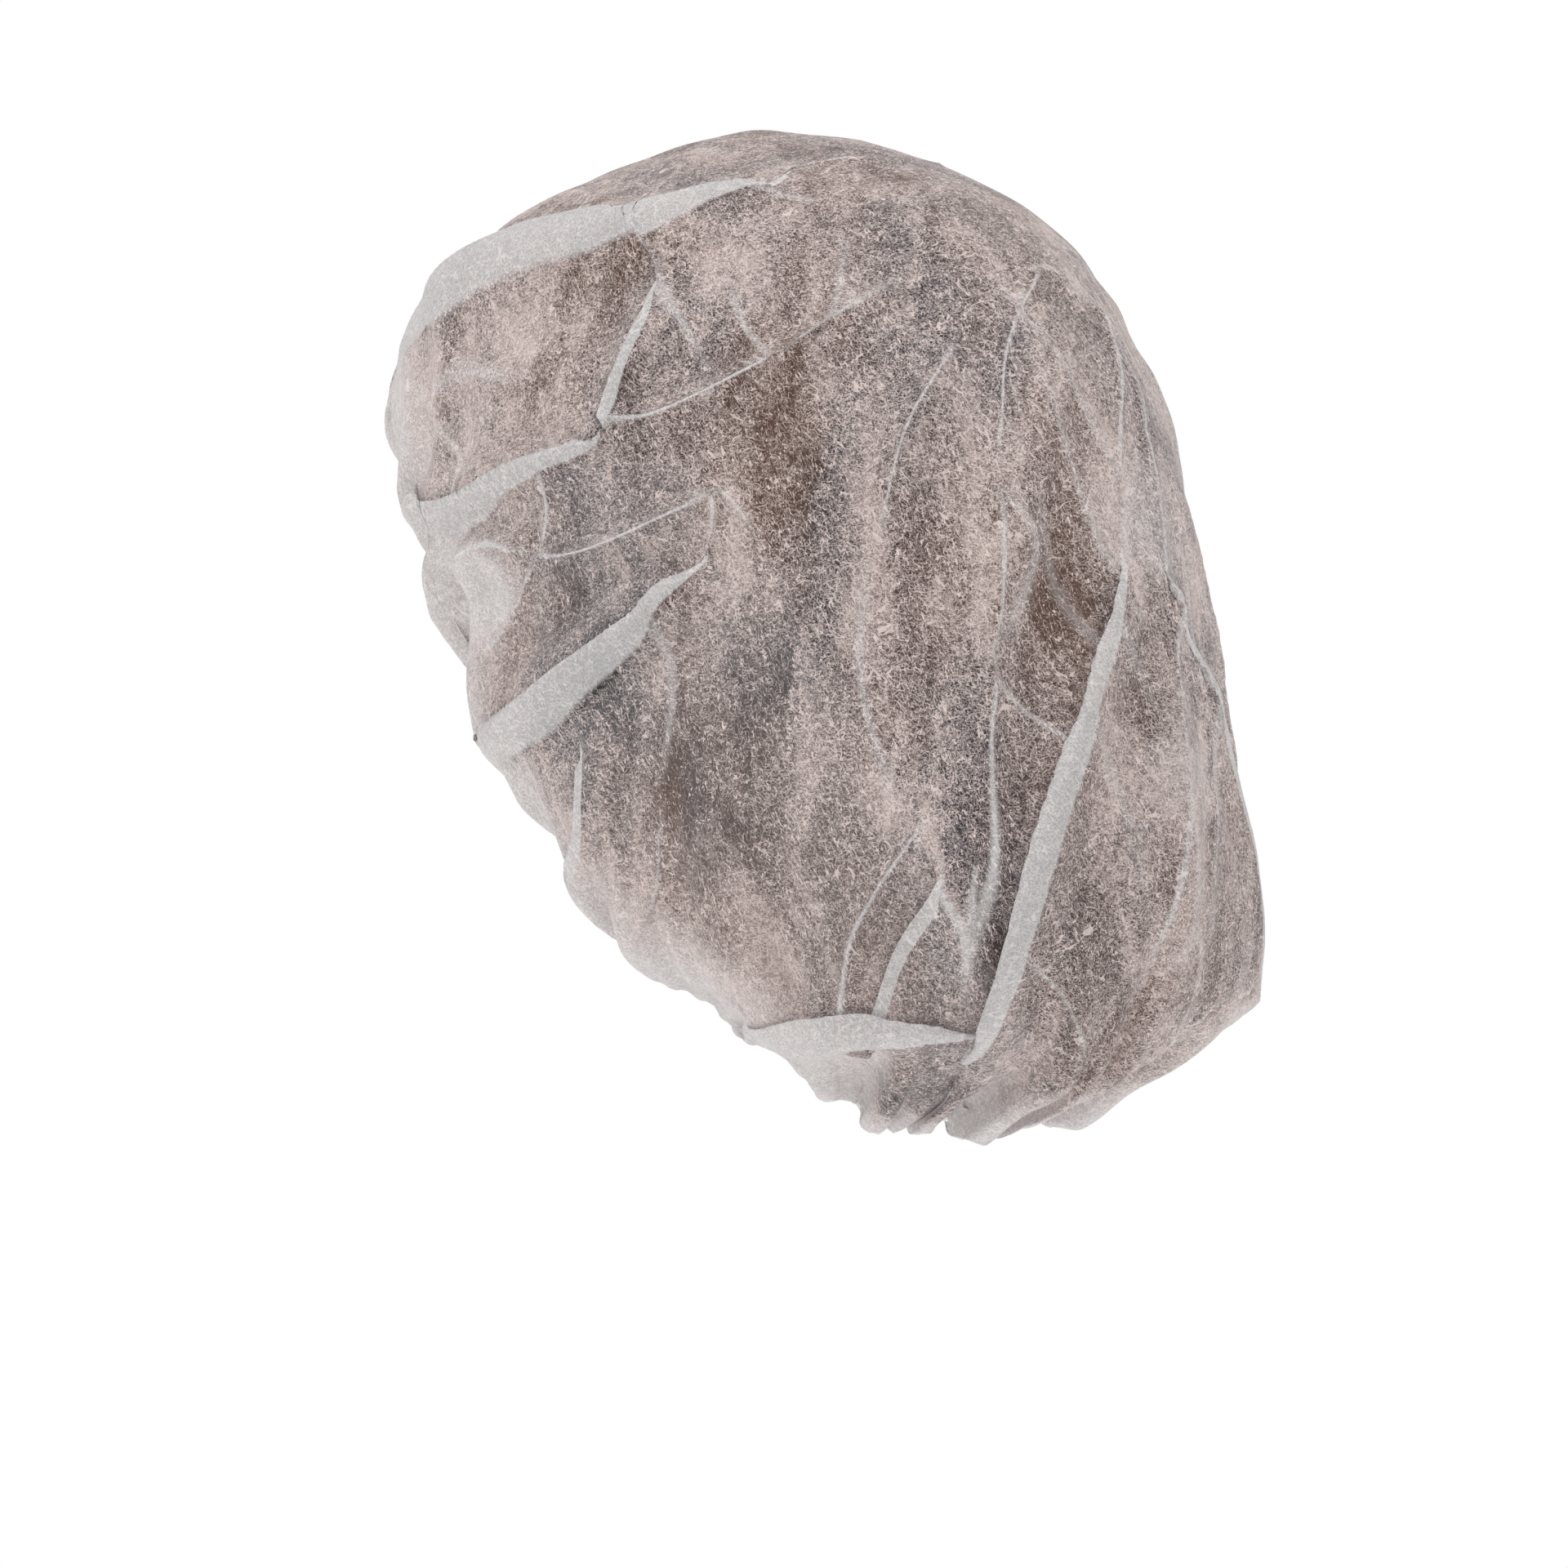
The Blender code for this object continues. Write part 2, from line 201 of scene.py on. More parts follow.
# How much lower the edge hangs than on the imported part, by turn. It starts at RIM_DROP_RUN.
RIM_DROP_RUN = 0.8
RIM_DROP_CURVE = 1.5
RIM_DROP = ((0, 0), (60, 0), (84, 0.0022), (96, 0.0040), (112, 0.0045), (126, 0.0035),
            (136, 0.0045), (147, 0.0050), (158, 0.0020), (168, 0), (180, 0))

# Places where the sheet stands out or sinks in, how far round them, and how pointed it is.
Swell = namedtuple("Swell", "name place reach height pointed")
SWELLS = (
    Swell("hollow back", (199, 0.48), 0.028, 0.0030, 1.0),
    Swell("full back", (197, 0.69), 0.026, -0.0042, 1.0),
    Swell("round back", (196, 0.32), 0.022, -0.0016, 1.0),
    Swell("back corner", (198, 0.832), 0.011, 0.0062, 0.5),
    Swell("under back", (186, 0.93), 0.014, -0.0042, 1.0),
    Swell("flat forehead", (20, 0.62), 0.024, -0.0030, 1.0),
)

# Patches where the web is painted whiter and denser, or below 0 darker and thinner: painted light
# and painted shade.
PaintedPatch = namedtuple("PaintedPatch", "place reach amount")
LIGHT_AND_SHADE_PATCHES = (
    PaintedPatch((30, 0.55), 0.060, 0.10), PaintedPatch((50, 0.85), 0.026, 0.30),
    PaintedPatch((128, 0.72), 0.010, 0.45), PaintedPatch((186, 0.27), 0.020, 0.45),
    PaintedPatch((208, 0.40), 0.030, 0.50), PaintedPatch((198, 0.86), 0.016, 0.80),
    PaintedPatch((138, 0.68), 0.014, 0.20), PaintedPatch((150, 0.45), 0.020, 0.20),
    PaintedPatch((163, 0.93), 0.014, 0.20), PaintedPatch((77, 0.76), 0.008, 1.10),
    PaintedPatch((68, 0.86), 0.012, 1.00), PaintedPatch((130, 0.93), 0.013, 0.70),
    PaintedPatch((143, 0.92), 0.008, 0.50), PaintedPatch((180, 0.48), 0.022, 0.60),
    PaintedPatch((177, 0.66), 0.018, 0.55), PaintedPatch((90, 0.28), 0.014, -0.35),
    PaintedPatch((67, 0.52), 0.013, -0.35), PaintedPatch((150, 0.14), 0.018, -0.35),
    PaintedPatch((102, 0.62), 0.013, -0.40), PaintedPatch((103, 0.74), 0.013, -0.35),
    PaintedPatch((118, 0.76), 0.020, -0.55), PaintedPatch((122, 0.60), 0.018, -0.25),
    PaintedPatch((145, 0.60), 0.012, -0.40), PaintedPatch((165, 0.54), 0.014, -0.40),
    PaintedPatch((151, 0.93), 0.012, -1.60), PaintedPatch((163, 0.80), 0.018, -0.25),
    PaintedPatch((160, 0.24), 0.026, -0.20), PaintedPatch((133, 0.46), 0.018, -0.20),
    PaintedPatch((176, 0.78), 0.014, 0.30), PaintedPatch((120, 0.41), 0.018, -0.20),
    PaintedPatch((112, 0.72), 0.012, -0.30), PaintedPatch((152, 0.80), 0.010, -0.30),
    PaintedPatch((138, 0.88), 0.014, -0.30),
)


def flow(at, knots, values):
    """Smooth curve that passes through the values at their knots."""
    slopes = np.gradient(values, knots, axis=0)
    span = np.clip(np.searchsorted(knots, at, side="right") - 1, 0, len(knots) - 2)
    gap = (knots[span + 1] - knots[span]).reshape((-1,) + (1,) * (values.ndim - 1))
    share = (at - knots[span]).reshape(gap.shape) / gap
    rest = 1 - share
    return (rest**2 * ((1 + 2 * share) * values[span] + share * gap * slopes[span])
            + share**2 * ((1 + 2 * rest) * values[span + 1] - rest * gap * slopes[span + 1]))


def plan_radius(turns):
    """Radius of the plan outline: two half ellipses that meet at the sides."""
    angle = np.radians(turns)
    reach = np.where(np.cos(angle) >= 0, FRONT_REACH, BACK_REACH)
    return 1 / np.hypot(np.sin(angle) / HALF_WIDTH, np.cos(angle) / reach)


def stations_at(turns):
    """The stations at each turn, in metres out from the axis and down from the top."""
    rows = np.array([row[1:] for row in MERIDIANS])
    knots = np.array([row.turn for row in MERIDIANS], float)
    knots = np.concatenate([-knots[1:2], knots, 360 - knots[-2:-3:-1]])
    rows = np.concatenate([rows[1:2], rows, rows[-2:-3:-1]])
    mirrored = np.abs((turns + 180) % 360 - 180)
    shares = flow(mirrored, knots, rows)
    scale = np.stack([plan_radius(turns), np.full(len(turns), CAP_HEIGHT)], axis=1)
    return shares * scale[:, None, :]


def along_meridian(stations, runs):
    """Places (out, drop) at the given shares of one meridian's length."""
    mirrored = stations[0] * (-1, 1)
    points = np.vstack([mirrored, (0, 0), stations])
    strides = np.linalg.norm(np.diff(points, axis=0), axis=1)
    knots = np.concatenate([[0], np.cumsum(strides**0.75)])
    fine = flow(np.linspace(knots[1], knots[-1], 200), knots, points)
    steps = np.linalg.norm(np.diff(fine, axis=0), axis=1)
    travelled = np.concatenate([[0], np.cumsum(steps)])
    want = runs * travelled[-1]
    return np.interp(want, travelled, fine[:, 0]), np.interp(want, travelled, fine[:, 1])


def base_sheet(turns, runs):
    """The sheet without folds, as a grid of turns by runs."""
    sheet = np.zeros((len(turns), len(runs), 3))
    for column, stations in zip(sheet, stations_at(turns)):
        column[:, 0], column[:, 2] = along_meridian(stations, runs)
    angle = np.radians(turns)[:, None]
    out, drop = sheet[..., 0].copy(), sheet[..., 2].copy()
    sheet[..., 0] = out * np.sin(angle)
    sheet[..., 1] = -out * np.cos(angle)
    lower = np.interp(np.abs((turns + 180) % 360 - 180), *zip(*RIM_DROP))
    share = np.clip((np.asarray(runs) - RIM_DROP_RUN) / (1 - RIM_DROP_RUN), 0, 1)
    sheet[..., 2] = WALL / 2 - drop - lower[:, None] * share**RIM_DROP_CURVE
    return sheet


def unit(vectors):
    """The same directions with length one."""
    return vectors / np.maximum(np.linalg.norm(vectors, axis=-1, keepdims=True), 1e-12)


def outward(sheet):
    """Unit normals of a grid that closes on itself from its last turn to its first."""
    around = np.roll(sheet, -1, axis=0) - np.roll(sheet, 1, axis=0)
    down = np.gradient(sheet, axis=1)
    normals = unit(np.cross(down, around))
    normals[:, 0] = (0, 0, 1)
    return normals


def fold_line(fold, side, steps=48):
    """Places along a fold on the base sheet, on the near or the far side."""
    places = np.array([fold.start, fold.middle, fold.end], float)
    if side < 0:
        places[:, 0] = 360 - places[:, 0] - FAR_SIDE_SHIFT
    turns, runs = flow(np.linspace(0, 1, steps), np.array([0, 0.5, 1]), places).T
    runs = np.minimum(runs, 1)
    return base_sheet(turns, runs)[np.arange(steps), np.arange(steps)]


def fold_swell(sheet, fold, side):
    """How far one fold's soft swell lifts each place of the sheet."""
    line = fold_line(fold, side)
    rise = np.zeros(sheet.shape[:2])
    width = fold.width * FOLD_WIDTH
    near = np.linalg.norm(sheet - line.mean(axis=0), axis=-1) < np.ptp(line, axis=0).max() + width
    reach = np.linalg.norm(sheet[near][:, None] - line, axis=-1)
    along = reach.argmin(axis=-1) / (len(line) - 1)
    across = np.minimum(reach.min(axis=-1) / width, 1)
    taper = np.clip(np.sin(np.pi * along), 0, 1) ** 0.6
    share = fold.height * (1 if side > 0 else FAR_SIDE_SHARE)
    rise[near] = FOLD_HEIGHT * share * taper * (1 - across**2) ** 3
    return rise


def fold_rise(sheet):
    """How far all the soft folds, swells and hollows lift each place of the sheet."""
    rise = np.zeros(sheet.shape[:2])
    for fold in FOLDS:
        rise += fold_swell(sheet, fold, 1) + fold_swell(sheet, fold, -1)
    for swell in SWELLS:
        place = base_sheet(np.array([swell.place[0]]), np.array([swell.place[1]]))[0, 0]
        apart = np.linalg.norm(sheet - place, axis=-1) / swell.reach
        rise += swell.height * np.exp(-apart ** (2 * swell.pointed))
    return rise


def painted_light_patches(sheet):
    """How much each place of the sheet is painted lighter or darker: painted light and painted
    shade.
    """
    total = np.zeros(sheet.shape[:2])
    for cloud in LIGHT_AND_SHADE_PATCHES:
        place = base_sheet(np.array([cloud.place[0]]), np.array([cloud.place[1]]))[0, 0]
        apart = np.linalg.norm(sheet - place, axis=-1) / cloud.reach
        total += cloud.amount * np.exp(-apart**2)
    return total


def beside(sheet, normals, mark, side):
    """For the places near a marked line: how far along it, across it and past its ends."""
    line = fold_line(mark, side)
    course = unit(np.gradient(line, axis=0))
    stride = np.linalg.norm(np.diff(line, axis=0), axis=1).mean()
    limit = np.ptp(line, axis=0).max() + MARK_REACH
    near = np.linalg.norm(sheet - line.mean(axis=0), axis=-1) < limit
    nearest = np.linalg.norm(sheet[near][:, None] - line, axis=-1).argmin(axis=-1)
    offset = sheet[near] - line[nearest]
    forward = np.sum(offset * course[nearest], axis=-1)
    sideways = unit(np.cross(normals[near], course[nearest])) * side
    across = np.sum(offset * sideways, axis=-1)
    along = np.clip((nearest + forward / stride) / (len(line) - 1), 0, 1)
    past = np.where((nearest == 0) | (nearest == len(line) - 1), np.abs(forward), 0)
    return near, along, across, past, sideways


def pleat_shift(sheet, normals, above_lip, pleat, side):
    """How one pleat slides, lifts and calms each place, and where that lies on its strip."""
    near, along, across, past, sideways = beside(sheet, normals, pleat, side)
    across, sideways = across * pleat.side, sideways * pleat.side
    share = 1 if side > 0 else FAR_SIDE_SHARE
    lap = flow(along, np.array([0, 0.5, 1]), share * np.array(pleat.lap) / 1000)
    zone = ZONE_PER_LAP * lap + ZONE_EXTRA
    inside = np.exp(-(past / zone) ** 2)
    to_end = np.minimum(along, 1 - along)
    held = inside * np.minimum(1, PLEAT_END_HOLD + PLEAT_END_RATE * to_end)
    free = held * np.minimum(1, PLEAT_END_HOLD + above_lip[near] / LIP_HOLD)
    u = across / zone
    slide = -(zone + lap) * u * np.exp((1 - u**2) / 2) * free
    on_top = np.exp(-((u - TOP_LAYER_AT) / TOP_LAYER_WIDTH) ** 2)
    lift = share * pleat.rise / 1000 * on_top * free
    shift, rise = np.zeros_like(sheet), np.zeros(sheet.shape[:2])
    shift[near], rise[near] = sideways * slide[:, None], lift
    strip, calm = np.full(sheet.shape[:2], OUTSIDE_STRIP), np.zeros(sheet.shape[:2])
    on_strip = np.where(u < 0, (across + slide) / lap, OUTSIDE_STRIP)
    strip[near] = np.clip(on_strip - STRIP_END_DROP * (1 - inside), OUTSIDE_STRIP, 1)
    above = np.minimum(1, above_lip[near] / CALM_ABOVE_LIP)
    calm[near] = held * np.exp(-(u / CALM_REACH) ** 4) * above
    return shift, rise, strip, calm


def crease_shift(sheet, normals, crease, side):
    """How one crease slides and lifts each place, how far across that lies, and how strongly its
    crest is painted whiter, a painted highlight.
    """
    near, along, across, past, sideways = beside(sheet, normals, crease, side)
    share = 1 if side > 0 else FAR_SIDE_SHARE
    reach = crease.reach / 1000
    to_end = np.minimum(along, 1 - along)
    held = np.exp(-(past / reach) ** 2) * np.minimum(1, CREASE_END_HOLD + CREASE_END_RATE * to_end)
    u = across / reach
    pinch = PINCH * min(1, FULL_PINCH_REACH / crease.reach) * share
    slide = -pinch * reach * u * np.exp((1 - u**2) / 2) * held
    lift = share * crease.rise / 1000 * np.exp(-(u / CREST_WIDTH) ** 2) * held
    shift, rise = np.zeros_like(sheet), np.zeros(sheet.shape[:2])
    shift[near], rise[near] = sideways * slide[:, None], lift
    beyond, crest = np.full(sheet.shape[:2], FAR_ACROSS), np.zeros(sheet.shape[:2])
    beyond[near] = np.clip(u, -FAR_ACROSS, FAR_ACROSS)
    # The crest is painted whiter along its middle: a painted highlight.
    crest[near] = crease.white * share * held * np.exp(-(u / WHITE_WIDTH) ** 2)
    return shift, rise, beyond, crest


def gather_turns():
    """Turn of each column: a fixed number to a gather, the gathers unevenly wide."""
    order = np.arange(GATHER_COUNT)
    starts = order + GATHER_JITTER * np.sin(2.4 * order)
    ends = np.append(starts[1:], starts[0] + GATHER_COUNT)
    within = np.arange(COLUMNS_PER_GATHER) / COLUMNS_PER_GATHER
    phase = starts[:, None] + within * (ends - starts)[:, None]
    return (phase.ravel() * 360 / GATHER_COUNT) % 360


def gather_rise(above_lip):
    """How far the gathers move each place of the sheet: held at the lip, fullest above it."""
    order = np.arange(len(above_lip)) / COLUMNS_PER_GATHER
    wave = np.cos(2 * np.pi * order) * (0.8 + 0.2 * np.sin(1.7 * np.floor(order + 0.5)))
    swell = np.sin(np.pi / 2 * np.minimum(above_lip / GATHER_SWELL, 1))
    fade = np.exp(-(above_lip / GATHER_REACH) ** 2)
    return GATHER_HEIGHT * wave[:, None] * (GATHER_AT_LIP + (1 - GATHER_AT_LIP) * swell) * fade


# Ruffles in the gathered edge: how many go round, how high they stand, and how far up the sheet
# they reach before they merge. They wander, stand unevenly high and are held at the lip. Fullness
# is how far the edge is drawn in, by turn: less at the sides than round the back.
Ruffle = namedtuple("Ruffle", "count height reach seed")
RUFFLES = (
    Ruffle(40, 0.0029, 0.042, 3),
    Ruffle(70, 0.0019, 0.024, 4),
    Ruffle(108, 0.0008, 0.011, 5),
)
RUFFLE_LEAN = 0.45
RUFFLE_WANDER = 5.0
RUFFLE_UNEVEN = 0.16
RUFFLE_AT_LIP = 0.4
RUFFLE_SWELL = 0.010
FULLNESS = ((0, 0.8), (35, 0.7), (60, 0.5), (110, 0.4), (130, 0.4), (145, 0.9), (180, 1.0),
            (250, 1.0), (300, 0.8), (330, 0.9), (360, 0.8))


def ruffle_shift(turns, above_lip):
    """How far the ruffles move each place of the sheet: outwards, and along the edge."""
    angle = np.radians(turns)
    drawn_in = np.interp(turns, *zip(*FULLNESS))
    rise, lean = np.zeros_like(above_lip), np.zeros_like(above_lip)
    for ruffle in RUFFLES:
        chance = np.random.default_rng(ruffle.seed)
        phase = ruffle.count * angle
        fullness = np.ones(len(turns))
        for lobe in range(2, 12):
            wave = np.sin(lobe * angle + chance.uniform(0, 2 * np.pi))
            phase = phase + RUFFLE_WANDER / lobe * wave
            wave = np.sin(lobe * angle + chance.uniform(0, 2 * np.pi))
            fullness = fullness + RUFFLE_UNEVEN * wave
        height = ruffle.height * drawn_in * np.clip(fullness, 0.3, 1.6)
        swell = np.minimum(1, RUFFLE_AT_LIP + above_lip / RUFFLE_SWELL)
        fade = np.exp(-(above_lip / ruffle.reach) ** 2) * swell
        rise += (height * np.cos(phase))[:, None] * fade
        lean += (RUFFLE_LEAN * height * np.sin(2 * phase))[:, None] * fade
    return rise, lean


def plane_waves(places, waves, count=14):
    """An uneven surface, about -1 to 1, made of plane waves in all directions."""
    chance = np.random.default_rng(waves.seed)
    total = np.zeros(places.shape[:-1])
    for _ in range(count):
        direction = unit(chance.normal(size=3))
        length = chance.uniform(waves.shortest, waves.longest)
        total += np.sin(2 * np.pi / length * (places @ direction) + chance.uniform(0, 2 * np.pi))
    return total / np.sqrt(count / 2) * 0.6


# Wide billows, small dents, and creases where a third surface passes zero, in the places that a
# fourth one picks; the crests of these creases are painted whiter, a painted highlight. They fade
# out over CRUMPLE_LIP_HOLD towards the lip.
Waves = namedtuple("Waves", "seed shortest longest")
BILLOWS = Waves(11, 0.060, 0.095)
DENTS = Waves(12, 0.014, 0.030)
BENDS = Waves(13, 0.030, 0.060)
CREASED_PLACES = Waves(14, 0.05, 0.08)
BILLOW_HEIGHT = 0.0012
DENT_HEIGHT = 0.00035
BEND_HEIGHT = 0.0005
BEND_WIDTH = 0.05
BEND_HIGHLIGHT = 0.5
CRUMPLE_LIP_HOLD = 0.03


def crumple_rise(places, above_lip):
    """Billows, dents and crease lines all over the sheet, and how strongly its creases are painted
    whiter, a painted highlight.
    """
    billow = plane_waves(places, BILLOWS)
    dents = plane_waves(places, DENTS)
    bends = np.abs(plane_waves(places * (1, 1, 0.6), BENDS))
    creased = np.clip(0.5 + plane_waves(places, CREASED_PLACES), 0, 1)
    hold = np.minimum(1, above_lip / CRUMPLE_LIP_HOLD)
    rise = (BILLOW_HEIGHT * billow * hold + DENT_HEIGHT * dents
            - BEND_HEIGHT * bends**0.7 * creased * hold)
    return rise, BEND_HIGHLIGHT * creased * np.exp(-(bends / BEND_WIDTH) ** 2)


def hem_frame(base):
    """At each column's lip: the way down the sheet and the way in, square to the lip."""
    lip = base[:, -1]
    tangent = unit(np.roll(lip, -1, axis=0) - np.roll(lip, 1, axis=0))
    down = lip - base[:, -2]
    down = unit(down - np.sum(down * tangent, axis=1, keepdims=True) * tangent)
    return down, -unit(np.cross(down, tangent))


def cap_sheet():
    """The whole sheet, crown then hem, what its material reads there, and the elastic's line."""
    turns = gather_turns()
    runs = np.linspace(0, 1, CROWN_ROWS + 1) ** ROW_SPREAD
    base = base_sheet(turns, runs)
    normals = outward(base)
    above_lip = np.linalg.norm(base - base[:, -1:], axis=-1)
    down, inward = hem_frame(base)
    around = unit(np.roll(base, -1, axis=0) - np.roll(base, 1, axis=0))
    gathers = gather_rise(above_lip)
    lip_rise = gathers[:, -1:] + fold_rise(base[:, -1:])
    elastic_line = base[:, -1] + normals[:, -1] * lip_rise + HEM_RADIUS * inward

    slid, lift = base.copy(), np.zeros(base.shape[:2])
    strip, calm = np.full(base.shape[:2], OUTSIDE_STRIP), np.zeros(base.shape[:2])
    across, crest = np.full(base.shape[:2], FAR_ACROSS), np.zeros(base.shape[:2])
    for side in (1, -1):
        for pleat in PLEATS:
            shift, rise, inside, held_flat = pleat_shift(base, normals, above_lip, pleat, side)
            slid, lift = slid + shift, lift + rise
            strip, calm = np.maximum(strip, inside), np.maximum(calm, held_flat)
        for crease in CREASES:
            shift, rise, beyond, crease_highlight = crease_shift(base, normals, crease, side)
            slid, lift = slid + shift, lift + rise
            # Each place keeps the painted highlight of the crease nearest to it.
            nearer = (np.abs(beyond) < np.abs(across)) & (crease_highlight > LEAST_WHITE)
            across[nearer], crest[nearer] = beyond[nearer], crease_highlight[nearer]
    ruffles, lean = ruffle_shift(turns, above_lip)
    crumple, white = crumple_rise(slid, above_lip)
    lift += fold_rise(slid) + crumple + (1 - calm) * (gathers + ruffles)
    crown = slid + normals * lift[..., None] + around * ((1 - calm) * lean)[..., None]
    # This sum carries the patches of painted light and shade, the painted highlight on the crumple
    # creases and the whiter web at the lip.
    thickness_and_painted_light = painted_light_patches(base) + white + RIM_WHITE * np.exp(-(above_lip / RIM_WHITE_REACH) ** 2)

    lip = crown[:, -1]
    hem = []
    for angle in np.linspace(0, np.pi, HEM_TURN_STEPS + 1)[1:]:
        hem.append(lip + HEM_RADIUS * ((1 - np.cos(angle)) * inward + np.sin(angle) * down))
    for share in np.linspace(0, 1, HEM_FLAP_STEPS + 1)[1:]:
        hem.append(lip + 2 * HEM_RADIUS * inward - share * HEM_DEPTH * down)
    whole = np.concatenate([crown, np.stack(hem, axis=1)], axis=1)
    looks = {"strip": strip, "across": across, "crest": crest, "thickness_and_painted_light": thickness_and_painted_light}
    for name, values in looks.items():
        looks[name] = np.concatenate([values, np.repeat(values[:, -1:], len(hem), axis=1)], axis=1)
    return whole, looks, elastic_line


def make_crown(sheet, looks):
    """The sheet as one surface that is closed at its top, with what its material reads."""
    columns, rows = sheet.shape[0], sheet.shape[1] - 1
    vertices = np.concatenate([sheet[:1, 0].reshape(1, 3), sheet[:, 1:].reshape(-1, 3)])
    faces = []
    for column in range(columns):
        here = 1 + column * rows
        following = 1 + (column + 1) % columns * rows
        faces.append((0, here, following))
        faces += [(here + row, here + row + 1, following + row + 1, following + row)
                  for row in range(rows - 1)]
    data = bpy.data.meshes.new("crown_sheet")
    data.from_pydata(vertices.tolist(), [], faces)
    data.shade_smooth()
    for name, values in looks.items():
        layer = data.attributes.new(name, "FLOAT", "POINT")
        layer.data.foreach_set("value", np.concatenate([values[:1, 0], values[:, 1:].ravel()]))
    crown = bpy.data.objects.new("crown_sheet", data)
    bpy.context.collection.objects.link(crown)
    return crown


def add_node(tree, kind, inputs=(), **settings):
    """A new node with its settings, its inputs set to a value or linked to a socket."""
    made = tree.nodes.new(kind)
    for name, value in settings.items():
        setattr(made, name, value)
    for name, value in dict(inputs).items():
        if isinstance(value, bpy.types.NodeSocket):
            tree.links.new(value, made.inputs[name])
        else:
            made.inputs[name].default_value = value
    return made


# Fibres are lines where a stretched noise passes its middle. A layer has a spacing, a tilt, how
# bright its fibres are and how wide they are; the last two layers are coarser single strands.
FIBRE_LENGTH = 3.0
FIBRE_WIDTH = 0.052
STRAND_WIDTH = 0.022
FibreLayer = namedtuple("FibreLayer", "spacing tilt bright width")
FIBRE_LAYERS = (
    FibreLayer(0.00080, (0.3, 0.2, 0.0), 0.95, FIBRE_WIDTH),
    FibreLayer(0.00070, (1.4, 0.3, 0.9), 0.85, FIBRE_WIDTH),
    FibreLayer(0.00075, (0.2, 1.3, 2.0), 0.85, FIBRE_WIDTH),
    FibreLayer(0.00100, (0.9, 0.8, 1.3), 0.70, FIBRE_WIDTH),
    FibreLayer(0.00210, (0.7, 0.2, 0.4), 0.90, STRAND_WIDTH),
    FibreLayer(0.00240, (1.9, 0.9, 1.7), 0.90, STRAND_WIDTH),
)


def fibre_lines(tree, place, layer):
    """Curly fibres that run one way through the sheet, from 0 between them to 1 on them."""
    size = (layer.spacing, layer.spacing, FIBRE_LENGTH * layer.spacing)
    turned = add_node(tree, "ShaderNodeMapping", {
        "Vector": place, "Rotation": layer.tilt, "Scale": size}, vector_type="TEXTURE")
    noise = add_node(tree, "ShaderNodeTexNoise", {
        "Vector": turned.outputs[0], "Scale": 1, "Detail": 0, "Distortion": 0.9})
    middle = add_node(tree, "ShaderNodeMath", {0: noise.outputs[0], 1: 0.5}, operation="SUBTRACT")
    off = add_node(tree, "ShaderNodeMath", {0: middle.outputs[0]}, operation="ABSOLUTE")
    line = add_node(tree, "ShaderNodeMapRange", {
        "Value": off.outputs[0], "From Min": 0.2 * layer.width, "From Max": layer.width,
        "To Min": layer.bright, "To Max": 0}, interpolation_type="SMOOTHSTEP")
    return line.outputs[0]


# Colours of the gaps between the fibres, warmer and greyer, painted near-black as painted shade
# seen through the sheet; of the web, darkened by the same painted shade; of the fibres on a single
# layer; and of the web and the fibres where it is doubled.
WARM_SHADE_SEEN_THROUGH = (0.095, 0.043, 0.026, 1)
GREY_SHADE_SEEN_THROUGH = (0.026, 0.025, 0.029, 1)
WEB_COLOUR = (0.42, 0.325, 0.30, 1)
FIBRE_COLOUR = (0.79, 0.67, 0.635, 1)
TWOFOLD_WEB_COLOUR = (0.60, 0.575, 0.57, 1)
TWOFOLD_FIBRE_COLOUR = (0.86, 0.84, 0.835, 1)


